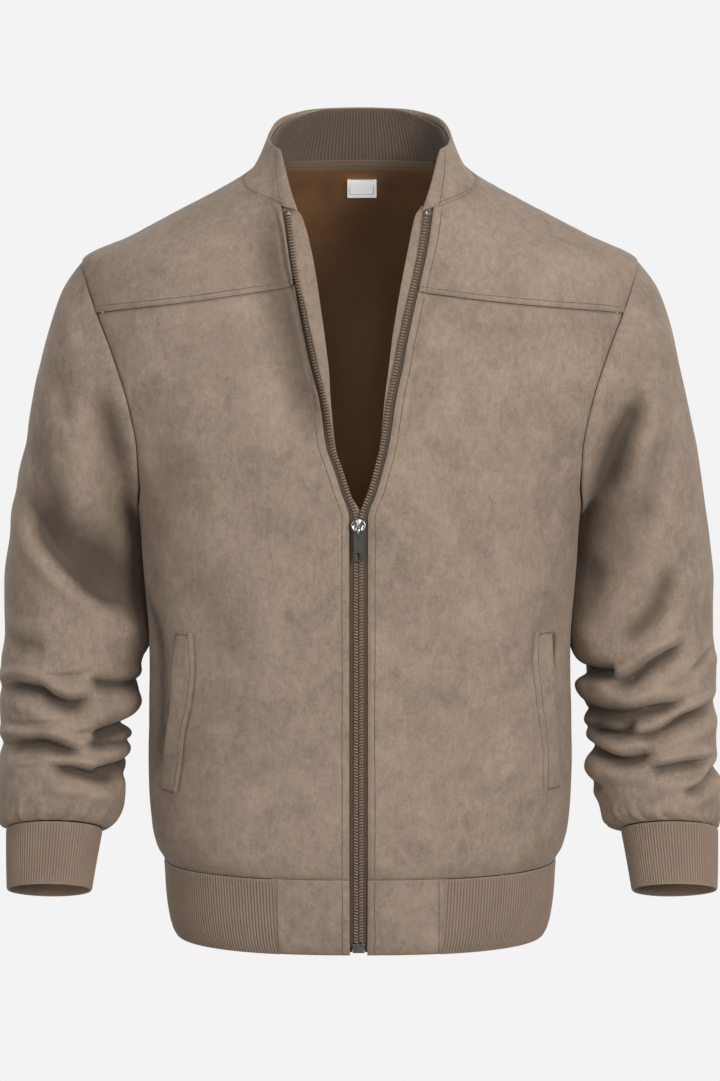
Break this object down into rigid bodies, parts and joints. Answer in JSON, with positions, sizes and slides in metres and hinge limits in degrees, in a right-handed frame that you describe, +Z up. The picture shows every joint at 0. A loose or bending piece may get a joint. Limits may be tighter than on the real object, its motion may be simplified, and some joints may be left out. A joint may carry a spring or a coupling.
{
  "type": "bomber jacket",
  "caption": "Hip-length zip-front bomber jacket in faux suede, with stand collar, front yokes, pocket welts, rib-knit cuffs and hem, half unzipped and filled out as if worn.",
  "frame": {"origin": "where the wearer's neck and shoulders hold the jacket up: on its centre line, level with the points where the shoulder seams meet the collar", "axes": "+Z up, -Y out of the front, +X to the right of someone who looks at the front"},
  "size_m": [0.6118, 0.2596, 0.7035],
  "materials": {
    "suede": "napped faux suede, matt",
    "rib_knit": "rib knit, matt",
    "lining": "smooth woven lining",
    "label": "blank woven label",
    "zip_tape": "woven tape, matt",
    "metal": "dark nickel plate"
  },
  "bodies": {
    "jacket": {"front_left": "suede", "front_right": "suede", "yoke_left": "suede", "yoke_right": "suede", "back": "suede", "sleeve_left": "suede", "sleeve_right": "suede", "collar_outer": "suede", "facing_left": "suede", "facing_right": "suede", "pocket_welt_left": "suede", "pocket_welt_right": "suede", "hem_tab_left": "suede", "hem_tab_right": "suede", "cuff_left": "rib_knit", "cuff_right": "rib_knit", "collar_rib": "rib_knit", "hem_rib": "rib_knit", "lining_back": "lining", "label": "label", "zip_tape_left": "zip_tape", "zip_tape_right": "zip_tape", "neck_tape": "zip_tape", "zip_slider": "metal", "zip_box": "metal", "zip_stop_left": "metal", "zip_stop_right": "metal"},
    "pull_tab": {"zip_pull_tab": "metal"}
  },
  "joints": [
    {"name": "pull_tab_swing", "type": "hinge", "parent": "jacket", "child": "pull_tab", "pos_m": [-0.0012, -0.1312, -0.301], "axis": [-1, 0, 0], "range_deg": [0, 150]}
  ]
}
